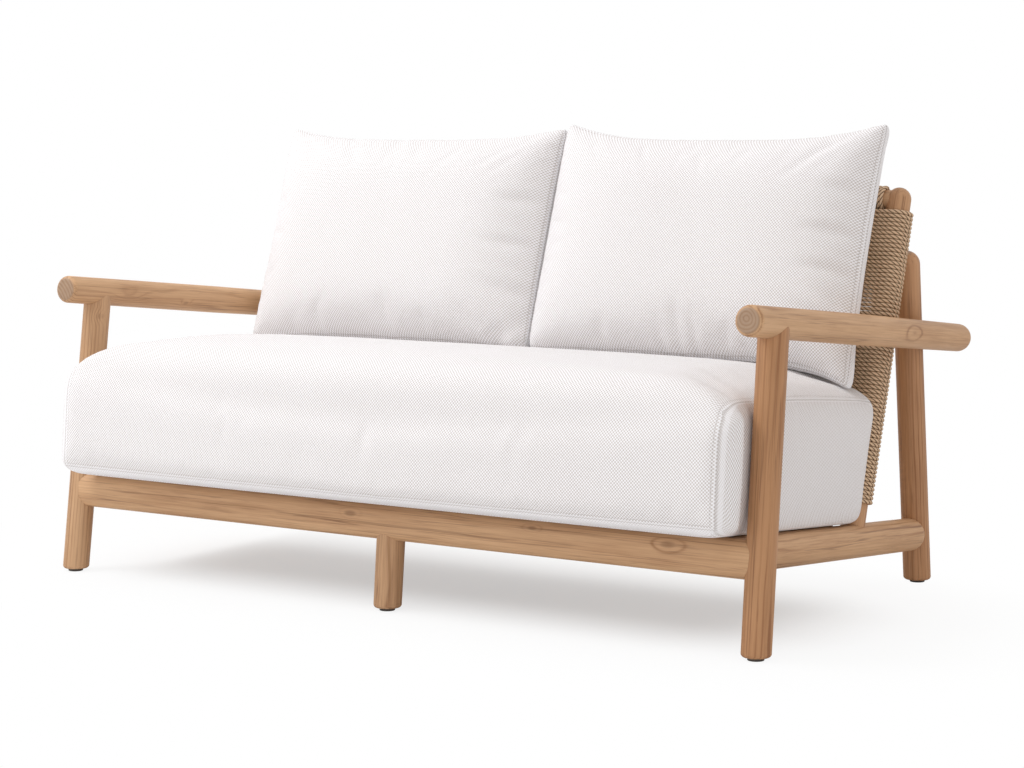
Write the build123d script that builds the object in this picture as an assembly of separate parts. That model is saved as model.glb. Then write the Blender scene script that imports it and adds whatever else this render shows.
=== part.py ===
from build123d import *
import os
from math import cos, radians, sin, sqrt, tan

# A two-seat patio sofa: round teak members, a back wound with rope, a bench cushion and two back cushions.
# X points to the viewer's right, Y to the back and Z up.
# The origin is the middle of the centre foot, on the floor.

# Main places
ARM_X = 734.0                # from the middle to the axis of each armrest
ARM_HEIGHT = 547.3           # height of the armrests' axes straight above the centre foot
ARM_FRONT = -35.0            # front ends of the armrests
ARM_REAR = 846.0             # rear tips of the armrests
DECK_HEIGHT = 193.0          # height of the seat deck above the centre foot
FRONT_FOOT_Y = -11.0         # front feet, from the centre foot
FRONT_RAIL_ALONG = 15.0      # axis of the front rail along the deck
BACK_BEFORE_TIPS = 340.4     # from the armrests' rear tips forward to the back's datum
BACK_DATUM_Z = 186.4         # height of that datum, on the stiles' axes at the first turn of rope
STILE_TOP = 588.0            # from that datum up to the tops of the stiles
ARM_TAIL = 72.0              # how far the rear tips stand behind the rear feet
REAR_LEG_TOP = 632.0         # height of the rear legs

# Slopes, in degrees
ARM_SLOPE = 5.77             # the armrests fall to the rear
DECK_SLOPE = 5.16            # the seat frame falls to the rear
BACK_LEAN = 17.34            # the back frame leans to the rear
FRONT_LEG_LEAN = 7.18        # the front legs lean to the rear
FRONT_LEG_SPLAY = 0.89       # the front legs lean inwards
CENTRE_LEG_LEAN = 5.5        # the centre leg leans to the rear
REAR_LEG_LEAN = 7.28         # the rear legs lean forward

# Round members
LEG_TOP_R = 25.8
LEG_FOOT_R = 25.2
LEG_EDGE = 6.0               # rounding under the feet
ARM_END_R = 26.0
ARM_MID_R = 27.4
ARM_EDGE = 10.0              # rounding of the armrests' front ends
SIDE_RAIL_R = 30.7
SIDE_RAIL_DOME = 35.0        # from a rear leg's axis forward to the centre of the side rail's domed end
STILE_R = 22.0
TOP_RAIL_R = 19.0
TOP_RAIL_DROP = 24.0         # the top rail's axis, below the tops of the stiles
BOTTOM_RAIL_R = 17.0
BOTTOM_RAIL_RISE = 40.0      # the bottom rail's axis, above the back datum
REAR_RAIL_R = 23.0
REAR_RAIL_BEFORE = 57.6      # axis of the rear rail, along the deck, short of the back's datum
GLUE = 0.1                   # gap in a glued or bolted seat

# Front rail, a tall bar with round corners
FRONT_RAIL_DEPTH = 52.0
FRONT_RAIL_TALL = 66.0
FRONT_RAIL_CORNER = 23.0
FRONT_RAIL_SHORT = 10.0      # from the front legs' axes to the ends of the rail

# Seat deck
SLAT_WIDTH = 60.0
SLAT_THICK = 15.0
SLAT_FIRST = 80.0            # middle of the first slat along the deck
SLAT_REAR_GAP = 8.0          # from the middle of the last slat to the rear rail's axis
SLAT_PITCH = 72.0            # from one slat to the next, near enough to fill the deck evenly
SLAT_EDGE = 3.0
SLAT_END_GAP = 2.0           # from the slats' ends to the side rails
CLEAT_WIDTH = 30.0
CLEAT_TALL = 30.0
CLEAT_SINK = 6.0             # how far the cleats are let into the side rails
CLEAT_END_GAP = 3.0          # from the cleats' ends to the front and rear rails
BEARER_WIDTH = 34.0
BEARER_TALL = 46.0

# Foot glides
GLIDE_R = 14.0
GLIDE_THICK = 5.0
GLIDE_EDGE = 1.0
GLIDE_STEM_R = 3.0
GLIDE_STEM = 16.0
GLIDE_GAP = 0.1              # round the stem and above it

# Dowels, bolts, plugs and screws
DOWEL_R = 7.0
DOWEL_LENGTH = 56.0
DOWEL_EDGE = 1.0
DOWEL_GAP = 0.1
RAIL_DOWEL_BACK = 10.0       # middles of the side rails' front dowels, behind the front rail
BOLT_R = 3.8
BOLT_LENGTH = 66.0
BOLT_HEAD_R = 6.5
BOLT_HEAD = 6.0
BOLT_SEAT = 18.0             # from the bolt head's seat to the surface that the plug closes
BOLT_GAP = 0.2
PLUG_R = 7.5
SCREW_R = 2.2
SCREW_LENGTH = 32.0
SCREW_HEAD_R = 4.2
SCREW_HEAD = 3.0
SCREW_GAP = 0.1

# Rope
ROPE_R = 3.75
TURN_WIDTH = 8.0             # from one turn of rope to the next
ROPE_SEAT = 0.3              # between the rope and what it lies on
PANEL_TURNS = (18, 18, 18, 13)
TURNS_LEFT_OUT = (0, 0, 0, 1)  # under each winding, where the upper frame bolts pass
WRAP_TURNS = 24
WRAP_START_GAP = 4.5         # from a stile to the first turn on the top rail
TAIL = 12.0                  # from the end of one winding to the start of the next

# Seat cushion, measured along the deck and up from it
SEAT_SIDE_GAP = 4.2          # from the end panels to the front legs, where these meet the armrests
SEAT_LEG_GAP = 7.5           # from the front legs to the corners that swell out in front of them
SEAT_SWELL = 24.0            # how far those corners swell out past the end panels
SEAT_FRONT = -80.0           # front face at the middle
SEAT_END_OUT = 8.0           # how far the front face stands out at the ends
SEAT_THICK = 219.0           # thickness at the end seams
SEAT_CROWN = 62.0            # rise of the top at the middle
SEAT_FRONT_ROUND = 56.0      # roundness of the top front edge
SEAT_EDGE = 28.0             # roundness of the other edges
SEAT_DRAWN = 4.0             # how far the underside is drawn up at the ends
SEAT_TUCK = 22.0             # how far the end panels draw in from the seams
SEAT_CLEAR = 0.5             # above the deck

# Back cushions, measured up along the rope back and forward from the stiles' axes
BACK_SIDE_GAP = 22.6         # from the outer edges to the armrests
BACK_BOTTOM = 219.0
BACK_CORNER_BOTTOM = 176.0   # outer lower corners
BACK_TOP = 652.0
BACK_CORNER_TOP = 676.0      # upper corners
BACK_BAND_LOW = 102.0        # middle of the edge band at the bottom
BACK_BAND_HIGH = 86.0        # middle of the edge band at the top
BACK_BAND = 26.0             # width of the edge band between its two seams
BACK_FRONT = 182.0           # front of the crown
BACK_BOW = 2.0               # bow of the two faces at the side edges
BACK_CLEAR = 1.0             # from the rope back and from the sofa's middle

# Where the cushions are cut across: share of the width, share of the swell, share of the tuck
SEAT_STATION_SHARES = (
    (0.0, 1.0, 0.0), (0.44, 0.99, 0.0), (0.64, 0.95, 0.0), (0.772, 0.85, 0.0), (0.86, 0.66, 0.0),
    (0.912, 0.38, 0.0), (0.962, 0.0, 0.0), (0.986, 0.0, 0.35), (1.0, 0.0, 1.0),
)
BACK_STATION_SHARES = (
    (0.0, 0.0), (0.04, 0.36), (0.13, 0.74), (0.3, 0.95), (0.5, 1.0), (0.7, 0.95), (0.87, 0.74), (0.96, 0.36),
    (1.0, 0.0),
)
SEAT_TOP_FRONT_SHARE = 0.62  # share of the crown reached at the top front edge
SEAT_TOP_REAR_SHARE = 0.75   # share of the crown reached at the top rear edge
ROUND_SHARE = 1 / sqrt(2)


def slope_of(angle):
    return tan(radians(angle))


# Frames of reference
def deck_frame():
    """Origin over the centre foot, X across, Y back along the deck, Z up from it."""
    slope = radians(DECK_SLOPE)
    return Plane(origin=(0, 0, DECK_HEIGHT), x_dir=(1, 0, 0), z_dir=(0, sin(slope), cos(slope)))


def back_frame():
    """Origin midway between the stiles at the datum, X across, Y up along the back, Z forward from it."""
    lean = radians(BACK_LEAN)
    return Plane(origin=(0, BACK_DATUM_Y, BACK_DATUM_Z), x_dir=(1, 0, 0), z_dir=(0, -cos(lean), sin(lean)))


def on_deck(x, along, up):
    return deck_frame().from_local_coords(Vector(x, along, up))


def on_back(x, up, forward):
    return back_frame().from_local_coords(Vector(x, up, forward))


def facing(start, end):
    """A plane at start that looks along the line to end."""
    return Plane(origin=start, z_dir=end - start)


def between(start, end, share):
    return start + (end - start) * share


def longer(line, before, after):
    start, end = line
    way = (end - start).normalized()
    return start - way * before, end + way * after


# Places that follow from the sizes above
REAR_LEG_X = ARM_X - ARM_END_R - LEG_TOP_R
REAR_FOOT_Y = ARM_REAR - ARM_TAIL
BACK_DATUM_Y = ARM_REAR - BACK_BEFORE_TIPS
REAR_RAIL_ALONG = BACK_DATUM_Y - REAR_RAIL_BEFORE
SLAT_LAST = REAR_RAIL_ALONG - SLAT_REAR_GAP
SIDE_RAIL_X = REAR_LEG_X
ROPE_FRONT = STILE_R + ROPE_SEAT + 2 * ROPE_R
STILE_X = ARM_X - ARM_MID_R - ROPE_SEAT - ROPE_FRONT
TOP_RAIL_UP = STILE_TOP - TOP_RAIL_DROP
SEAT_HALF = ARM_X - LEG_TOP_R - SEAT_SIDE_GAP
BACK_HALF = ARM_X - ARM_MID_R - BACK_SIDE_GAP


def arm_point(side, y):
    return Vector(side * ARM_X, y, ARM_HEIGHT - slope_of(ARM_SLOPE) * y)


def arm_line(side):
    return arm_point(side, ARM_FRONT), arm_point(side, ARM_REAR)


def front_leg_line(side):
    """From the foot to the armrest's axis."""
    lean = slope_of(FRONT_LEG_LEAN)
    fall = slope_of(ARM_SLOPE)
    height = (ARM_HEIGHT - fall * FRONT_FOOT_Y) / (1 + fall * lean)
    foot = Vector(side * (ARM_X + slope_of(FRONT_LEG_SPLAY) * height), FRONT_FOOT_Y, 0)
    return foot, Vector(side * ARM_X, FRONT_FOOT_Y + lean * height, height)


def centre_leg_line():
    """From the foot to the front rail's axis."""
    top = on_deck(0, FRONT_RAIL_ALONG, -FRONT_RAIL_TALL / 2)
    return Vector(0, 0, 0), Vector(0, slope_of(CENTRE_LEG_LEAN) * top.Z, top.Z)


def rear_leg_line(side):
    """From the foot to the top of the dome."""
    top_y = REAR_FOOT_Y - slope_of(REAR_LEG_LEAN) * REAR_LEG_TOP
    return Vector(side * REAR_LEG_X, REAR_FOOT_Y, 0), Vector(side * REAR_LEG_X, top_y, REAR_LEG_TOP)


def rear_leg_along():
    """Where the rear legs' axes cross the side rails' axes, along the deck."""
    foot, top = (deck_frame().to_local_coords(p) for p in rear_leg_line(1))
    share = (-SIDE_RAIL_R - foot.Z) / (top.Z - foot.Z)
    return between(foot, top, share).Y


def side_rail_line(side):
    """From the front rail's axis to the tip of the domed end."""
    tip = rear_leg_along() - SIDE_RAIL_DOME + SIDE_RAIL_R
    start = on_deck(side * SIDE_RAIL_X, FRONT_RAIL_ALONG, -SIDE_RAIL_R)
    return start, on_deck(side * SIDE_RAIL_X, tip, -SIDE_RAIL_R)


def stile_foot_up():
    """Where the stiles' axes cross the side rails' axes, up along the back."""
    low, high = (deck_frame().to_local_coords(on_back(0, up, 0)) for up in (0, STILE_TOP))
    share = (-SIDE_RAIL_R - low.Z) / (high.Z - low.Z)
    return share * STILE_TOP


def stile_line(side):
    """From the side rail's axis to the top of the dome."""
    return on_back(side * STILE_X, stile_foot_up(), 0), on_back(side * STILE_X, STILE_TOP, 0)


def across(point_at, half):
    """A line across the sofa: point_at gives the place for each x."""
    return point_at(-half), point_at(half)


def top_rail_line():
    return across(lambda x: on_back(x, TOP_RAIL_UP, 0), STILE_X)


def bottom_rail_line():
    return across(lambda x: on_back(x, BOTTOM_RAIL_RISE, 0), STILE_X)


def rear_rail_line():
    return across(lambda x: on_deck(x, REAR_RAIL_ALONG, -SLAT_THICK - REAR_RAIL_R), SIDE_RAIL_X)


# Round bars
def rod(line, radius):
    start, end = line
    aligned = (Align.CENTER, Align.CENTER, Align.MIN)
    return facing(start, end).location * Cylinder(radius, (end - start).length, align=aligned)


def bellied(line, end_r, mid_r, edge):
    """A round bar, thickest at its middle, with a rounded edge at its start and a domed end."""
    start, end = line
    length = (end - start).length
    edge_in = (end_r - edge, 0, 0)
    edge_mid = (end_r - edge + edge * ROUND_SHARE, 0, edge - edge * ROUND_SHARE)
    edge_out = (end_r, 0, edge)
    belly = (mid_r, 0, length / 2)
    shoulder = (end_r, 0, length - end_r)
    dome_mid = (end_r * ROUND_SHARE, 0, length - end_r + end_r * ROUND_SHARE)
    tip = (0, 0, length)
    outline = make_face([
        Line((0, 0, 0), edge_in),
        ThreePointArc(edge_in, edge_mid, edge_out),
        Line(edge_out, belly),
        Line(belly, shoulder),
        ThreePointArc(shoulder, dome_mid, tip),
        Line(tip, (0, 0, 0)),
    ])
    return facing(start, end).location * revolve(outline, Axis.Z)


def domed(line, radius):
    """A straight round bar with a domed end."""
    start, end = line
    length = (end - start).length
    rim = (radius, 0, 0)
    shoulder = (radius, 0, length - radius)
    dome_mid = (radius * ROUND_SHARE, 0, length - radius + radius * ROUND_SHARE)
    tip = (0, 0, length)
    outline = make_face([
        Line((0, 0, 0), rim),
        Line(rim, shoulder),
        ThreePointArc(shoulder, dome_mid, tip),
        Line(tip, (0, 0, 0)),
    ])
    return facing(start, end).location * revolve(outline, Axis.Z)


# Members before they are cut to each other; swell makes the same shape a little thicker, to cut its seat
def armrest_blank(side, swell=0):
    return bellied(arm_line(side), ARM_END_R + swell, ARM_MID_R + swell, ARM_EDGE)


def side_rail_blank(side, swell=0):
    return domed(side_rail_line(side), SIDE_RAIL_R + swell)


def front_rail_blank(swell=0):
    middle = on_deck(0, FRONT_RAIL_ALONG, -FRONT_RAIL_TALL / 2)
    across_plane = Plane(origin=middle, x_dir=deck_frame().y_dir, z_dir=(1, 0, 0))
    section = RectangleRounded(
        FRONT_RAIL_DEPTH + 2 * swell, FRONT_RAIL_TALL + 2 * swell, FRONT_RAIL_CORNER + swell
    )
    reach = front_leg_at(1, middle.Z).X - FRONT_RAIL_SHORT
    return extrude(across_plane * section, reach, both=True)


def front_leg_at(side, height):
    foot, top = front_leg_line(side)
    return between(foot, top, height / top.Z)


def leg_cone(line, swell=0):
    """A leg that tapers to its foot and runs on below the floor, where it is cut level."""
    foot, top = line
    low, high = longer((foot, top), LEG_FOOT_R, 0)
    aligned = (Align.CENTER, Align.CENTER, Align.MIN)
    return facing(low, high).location * Cone(
        LEG_FOOT_R + swell, LEG_TOP_R + swell, (high - low).length, align=aligned
    )


def front_leg_blank(side, swell=0):
    return leg_cone(front_leg_line(side), swell)


def rear_leg_blank(side, swell=0):
    return domed(longer(rear_leg_line(side), LEG_FOOT_R, 0), LEG_TOP_R + swell)


def stile_blank(side, swell=0):
    return domed(stile_line(side), STILE_R + swell)


def cleat_blank(side, swell=0):
    """A bar let into the inner side of a side rail, under the slats' ends."""
    outer = SIDE_RAIL_X - rail_half_width(SLAT_THICK) + CLEAT_SINK
    front, rear = cleat_ends()
    return deck_bar(side * (outer - CLEAT_WIDTH / 2), CLEAT_WIDTH, CLEAT_TALL, front, rear, swell)


def rail_half_width(depth):
    """Half the width of a side rail at a depth below the deck."""
    rise = SIDE_RAIL_R - depth
    return sqrt(SIDE_RAIL_R**2 - rise**2)


def cleat_ends():
    front = FRONT_RAIL_ALONG + FRONT_RAIL_DEPTH / 2 + CLEAT_END_GAP
    return front, REAR_RAIL_ALONG - REAR_RAIL_R - CLEAT_END_GAP


def deck_bar(x, width, tall, front, rear, swell=0):
    """A square bar that runs along the deck under the slats."""
    middle = Vector(x, (front + rear) / 2, -SLAT_THICK - tall / 2)
    bar = Box(width + 2 * swell, rear - front + 2 * swell, tall + 2 * swell)
    return deck_frame().location * Pos(middle.X, middle.Y, middle.Z) * bar


# Foot glides
def feet():
    lines = {"front_left": front_leg_line(-1), "front_right": front_leg_line(1), "centre": centre_leg_line()}
    lines.update({"rear_left": rear_leg_line(-1), "rear_right": rear_leg_line(1)})
    return {name: line[0] for name, line in lines.items()}


def glide(foot, gap=0):
    low = (Align.CENTER, Align.CENTER, Align.MIN)
    disc = Cylinder(GLIDE_R, GLIDE_THICK, align=low)
    disc = fillet(disc.edges().filter_by(GeomType.CIRCLE).sort_by(Axis.Z)[0], GLIDE_EDGE)
    stem = Pos(0, 0, GLIDE_THICK) * Cylinder(GLIDE_STEM_R + gap, GLIDE_STEM + gap, align=low)
    return Pos(foot.X, foot.Y, 0) * (disc + stem)


def level_foot(leg, foot):
    """Cut a leg level over its glide, round the edge and bore it for the glide's stem."""
    room = 4 * LEG_TOP_R
    aligned = (Align.CENTER, Align.CENTER, Align.MAX)
    cut = leg - Pos(foot.X, foot.Y, GLIDE_THICK) * Box(room, room, room, align=aligned)
    rim = cut.edges().group_by(Axis.Z)[0]
    return fillet(rim, LEG_EDGE) - glide(foot, GLIDE_GAP)


# Joinery
def dowel_lines():
    """The middle and the direction of each dowel."""
    seats = []
    for side in (-1, 1):
        foot, top = front_leg_line(side)
        way = (top - foot).normalized()
        seats.append((top - way * ARM_END_R, way))
        low, high = stile_line(side)
        way = (high - low).normalized()
        seats.append((low + way * SIDE_RAIL_R, way))
        seats.append((front_rail_end(side), Vector(side, 0, 0)))
        behind_rail = FRONT_RAIL_ALONG + FRONT_RAIL_DEPTH / 2 + RAIL_DOWEL_BACK
        seats.append((on_deck(side * SIDE_RAIL_X, behind_rail, -SIDE_RAIL_R), deck_frame().y_dir))
        rear_seat = side * (SIDE_RAIL_X - rail_half_width(SLAT_THICK + REAR_RAIL_R))
        seats.append((rear_rail_line()[0] + Vector(SIDE_RAIL_X + rear_seat, 0, 0), Vector(side, 0, 0)))
        inner_face = side * (STILE_X - STILE_R)
        seats.append((on_back(inner_face, TOP_RAIL_UP, 0), Vector(side, 0, 0)))
        seats.append((on_back(inner_face, BOTTOM_RAIL_RISE, 0), Vector(side, 0, 0)))
    foot, top = centre_leg_line()
    way = (top - foot).normalized()
    seats.append((top - way * FRONT_RAIL_TALL / 2, way))
    return seats


def front_rail_end(side):
    """Where the front rail's axis meets the inner side of a front leg."""
    middle = on_deck(0, FRONT_RAIL_ALONG, -FRONT_RAIL_TALL / 2)
    return middle + Vector(front_leg_at(side, middle.Z).X - side * LEG_FOOT_R, 0, 0)


def dowel(seat, gap=0):
    middle, way = seat
    pin = Cylinder(DOWEL_R + gap, DOWEL_LENGTH + 2 * gap)
    pin = pin if gap else chamfer(pin.edges().filter_by(GeomType.CIRCLE), DOWEL_EDGE)
    return Plane(origin=middle, z_dir=way).location * pin


def bolt_lines():
    """For each bolt: the seat under its head, the way it points and the leg that holds its head."""
    bolts = []
    for side in (-1, 1):
        leg = rear_leg_line(side)
        sink = LEG_TOP_R - BOLT_SEAT
        arm_share = arm_crossing(leg)
        at_arm = between(leg[0], leg[1], arm_share)
        bolts.append((at_arm - Vector(side * sink, 0, 0), Vector(side, 0, 0), side))
        along = deck_frame().y_dir
        at_rail = on_deck(side * SIDE_RAIL_X, rear_leg_along(), -SIDE_RAIL_R)
        bolts.append((at_rail + along * sink, along * -1, side))
        forward = back_frame().z_dir
        in_stile = on_back(side * (STILE_X + REAR_LEG_X) / 2, upper_bolt_up(), 0)
        low, high = (back_frame().to_local_coords(p) for p in leg)
        to_leg = between(low, high, (upper_bolt_up() - low.Y) / (high.Y - low.Y)).Z
        bolts.append((in_stile + forward * (to_leg - sink), forward, side))
    return bolts


def arm_crossing(leg):
    """Share of a rear leg's length at which it passes the armrest's axis."""
    foot, top = leg
    fall = slope_of(ARM_SLOPE)
    return (ARM_HEIGHT - fall * foot.Y) / (top.Z + fall * (top.Y - foot.Y))


def winding_starts():
    """Height of the first turn of each winding, up along the back."""
    starts = []
    turns = 0
    for count, left_out in zip(PANEL_TURNS, TURNS_LEFT_OUT):
        turns += left_out
        starts.append(turns * TURN_WIDTH)
        turns += count
    return starts


def upper_bolt_up():
    """Midway between the turns on the rear side, where one turn is left out."""
    return winding_starts()[-1] - TURN_WIDTH / 2


def bolt(seat):
    point, way, _ = seat
    shank = rod((point, point + way * BOLT_LENGTH), BOLT_R)
    return shank + rod((point - way * BOLT_HEAD, point), BOLT_HEAD_R)


def bolt_bore(seat):
    """Room for a bolt, its head and its plug, out to beyond the leg."""
    point, way, _ = seat
    shank = rod((point, point + way * (BOLT_LENGTH + BOLT_GAP)), BOLT_R + BOLT_GAP)
    return shank + rod((point - way * 2 * BOLT_SEAT, point), PLUG_R + BOLT_GAP / 2)


def plug(seat):
    """A wooden plug behind a bolt's head, flush with the round of the leg."""
    point, way, side = seat
    blank = rod((point - way * 2 * BOLT_SEAT, point - way * (BOLT_HEAD + BOLT_GAP)), PLUG_R)
    return blank & rear_leg_blank(side)


def slat_places():
    gaps = round((SLAT_LAST - SLAT_FIRST) / SLAT_PITCH)
    step = (SLAT_LAST - SLAT_FIRST) / gaps
    return [SLAT_FIRST + step * i for i in range(gaps + 1)]


def screw_places():
    """Each screw's head on top of a slat: over the cleats, and over the bearer in the middle."""
    slat_end = SIDE_RAIL_X - SIDE_RAIL_R - SLAT_END_GAP
    cleat_inner = SIDE_RAIL_X - rail_half_width(SLAT_THICK) + CLEAT_SINK - CLEAT_WIDTH
    x = (slat_end + cleat_inner) / 2
    return [on_deck(side * x, along, 0) for along in slat_places() for side in (-1, 0, 1)]


def screw(head, gap=0):
    down = deck_frame().z_dir * -1
    shank = rod((head, head + down * (SCREW_LENGTH + gap)), SCREW_R + gap)
    cone = Cone(SCREW_R + gap, SCREW_HEAD_R + gap, SCREW_HEAD, align=(Align.CENTER, Align.CENTER, Align.MAX))
    return shank + Plane(origin=head, z_dir=down * -1).location * cone


# Cutting the members to each other
def without(solid, cutters):
    for cutter in cutters:
        solid = solid - cutter
    return solid


def near(solid, cutters):
    """The cutters whose boxes reach the solid's box."""
    box = solid.bounding_box()
    return [c for c in cutters if boxes_meet(box, c.bounding_box())]


def boxes_meet(a, b):
    return all([
        a.min.X <= b.max.X, b.min.X <= a.max.X,
        a.min.Y <= b.max.Y, b.min.Y <= a.max.Y,
        a.min.Z <= b.max.Z, b.min.Z <= a.max.Z,
    ])


def bores():
    """The holes of every dowel, bolt and screw."""
    holes = [dowel(seat, DOWEL_GAP) for seat in dowel_lines()]
    holes += [bolt_bore(seat) for seat in bolt_lines()]
    return holes + [screw(head, SCREW_GAP) for head in screw_places()]


def frame_members():
    """Every wooden member by name, cut to its neighbours and bored."""
    members = {}
    leg_seats = [front_leg_blank(side, GLUE) for side in (-1, 1)]
    rail_seats = [side_rail_blank(side, GLUE) for side in (-1, 1)]
    stile_seats = [stile_blank(side, GLUE) for side in (-1, 1)]
    for side, name, rail_seat in ((-1, "left", rail_seats[0]), (1, "right", rail_seats[1])):
        arm_seat = armrest_blank(side, GLUE)
        foot, _ = front_leg_line(side)
        rear_foot, _ = rear_leg_line(side)
        members[f"armrest_{name}"] = armrest_blank(side)
        members[f"front_leg_{name}"] = level_foot(front_leg_blank(side), foot) - arm_seat
        members[f"rear_leg_{name}"] = level_foot(rear_leg_blank(side), rear_foot) - arm_seat
        rail = without(side_rail_blank(side), [front_rail_blank(GLUE), rear_leg_blank(side, GLUE)])
        members[f"side_rail_{name}"] = rail - cleat_blank(side, GLUE)
        members[f"back_stile_{name}"] = stile_blank(side) - rail_seat
        members[f"seat_cleat_{name}"] = cleat_blank(side)
    foot, _ = centre_leg_line()
    members["centre_leg"] = level_foot(leg_cone(centre_leg_line()), foot) - front_rail_blank(GLUE)
    members["front_rail"] = without(front_rail_blank(), leg_seats)
    members["rear_rail"] = without(rod(rear_rail_line(), REAR_RAIL_R), rail_seats)
    members["back_top_rail"] = without(rod(top_rail_line(), TOP_RAIL_R), stile_seats)
    members["back_bottom_rail"] = without(rod(bottom_rail_line(), BOTTOM_RAIL_R), stile_seats)
    bearer = deck_bar(0, BEARER_WIDTH, BEARER_TALL, FRONT_RAIL_ALONG, REAR_RAIL_ALONG)
    bearer_seats = [front_rail_blank(GLUE), leg_cone(centre_leg_line(), GLUE)]
    bearer_seats.append(rod(rear_rail_line(), REAR_RAIL_R + GLUE))
    members["centre_bearer"] = without(bearer, bearer_seats)
    for number, along in enumerate(slat_places(), 1):
        members[f"seat_slat_{number}"] = slat(along)
    holes = bores()
    return {name: without(solid, near(solid, holes)) for name, solid in members.items()}


def slat(along):
    half = SIDE_RAIL_X - SIDE_RAIL_R - SLAT_END_GAP
    board = Box(2 * half, SLAT_WIDTH, SLAT_THICK, align=(Align.CENTER, Align.CENTER, Align.MAX))
    board = fillet(board.edges().filter_by(Axis.X), SLAT_EDGE)
    return deck_frame().location * Pos(0, along, 0) * board


# Rope
def winding_route(start, run_way, turn_way, climb_way, run, width, pitch, turns):
    """Flat loops that climb half a pitch in each half turn: a run, a half turn, a run back, a half turn."""
    edges = []
    point = start
    for half in range(2 * turns):
        way = 1 if half % 2 == 0 else -1
        if run:
            first_run = run - TAIL if half == 0 else run
            next_point = point + run_way * (way * first_run)
            edges.append(Line(point, next_point))
            point = next_point
        next_point = point + turn_way * (way * width) + climb_way * (pitch / 2)
        radius = (next_point - point).length / 2
        edges.append(ThreePointArc(point, (point + next_point) / 2 + run_way * (way * radius), next_point))
        point = next_point
    return edges


def rope_along(edges):
    """One unbroken rope along the route."""
    route = Wire(edges)
    start = edges[0] @ 0
    section = Plane(origin=start, z_dir=edges[0] % 0) * Circle(ROPE_R)
    return sweep(section, path=route)


def least_gap(edges, per_turn):
    """The least gap between neighbouring turns, measured on points."""
    shares = [i / 12 for i in range(13)]
    rows = [[edge @ share for share in shares] for edge in edges]
    least = min(
        (a - b).length
        for row, later in zip(rows, rows[per_turn:])
        for a in row
        for b in later
    )
    return least - 2 * ROPE_R


def panel_winding(up, turns):
    """Loops across the sofa, round both stiles."""
    spread = STILE_R + ROPE_SEAT + ROPE_R
    start = on_back(-STILE_X + TAIL, up, spread)
    back = back_frame()
    edges = winding_route(
        start, Vector(1, 0, 0), back.z_dir * -1, back.y_dir, 2 * STILE_X, 2 * spread, TURN_WIDTH, turns
    )
    return edges


def rail_winding(side):
    """Loops round the top rail, from the stile inwards."""
    spread = TOP_RAIL_R + ROPE_SEAT + ROPE_R
    x = STILE_X - STILE_R - WRAP_START_GAP
    start = on_back(side * x, TOP_RAIL_UP + spread, 0)
    back = back_frame()
    inwards = Vector(-side, 0, 0)
    return winding_route(start, back.z_dir, back.y_dir * -1, inwards, 0, 2 * spread, TURN_WIDTH, WRAP_TURNS)


def wrap_sleeve():
    """The middle of the top rail's winding, as one sleeve as thick as the rope."""
    reach = STILE_X - STILE_R - WRAP_START_GAP - (WRAP_TURNS + 1) * TURN_WIDTH
    line = across(lambda x: on_back(x, TOP_RAIL_UP, 0), reach)
    inner = TOP_RAIL_R + ROPE_SEAT
    return rod(line, inner + 2 * ROPE_R) - rod(longer(line, ROPE_R, ROPE_R), inner)


def ropes():
    pieces = {}
    for number, (up, turns) in enumerate(zip(winding_starts(), PANEL_TURNS), 1):
        edges = panel_winding(up, turns)
        print(f"back rope {number}: least gap to itself {least_gap(edges, 4):.2f} mm")
        pieces[f"back_rope_{number}"] = rope_along(edges)
    for side, name in ((-1, "left"), (1, "right")):
        edges = rail_winding(side)
        print(f"top rope {name}: least gap to itself {least_gap(edges, 2):.2f} mm")
        pieces[f"top_rope_{name}"] = rope_along(edges)
    pieces["top_rope_middle"] = wrap_sleeve()
    return pieces


# Cushions
def corner(a, peak, b):
    """A round corner from a to b that follows the sharp corner at peak."""
    soft = 1 - ROUND_SHARE
    return ThreePointArc(a, (a + b) * soft + peak * (1 - 2 * soft), b)


def seat_rear(up):
    """The seat cushion's rear face, along the deck: it leans with the rope back, just clear of it."""
    low, high = (deck_frame().to_local_coords(on_back(0, u, ROPE_FRONT + BACK_CLEAR)) for u in (0, STILE_TOP))
    return between(low, high, (up - low.Z) / (high.Z - low.Z)).Y


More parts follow.
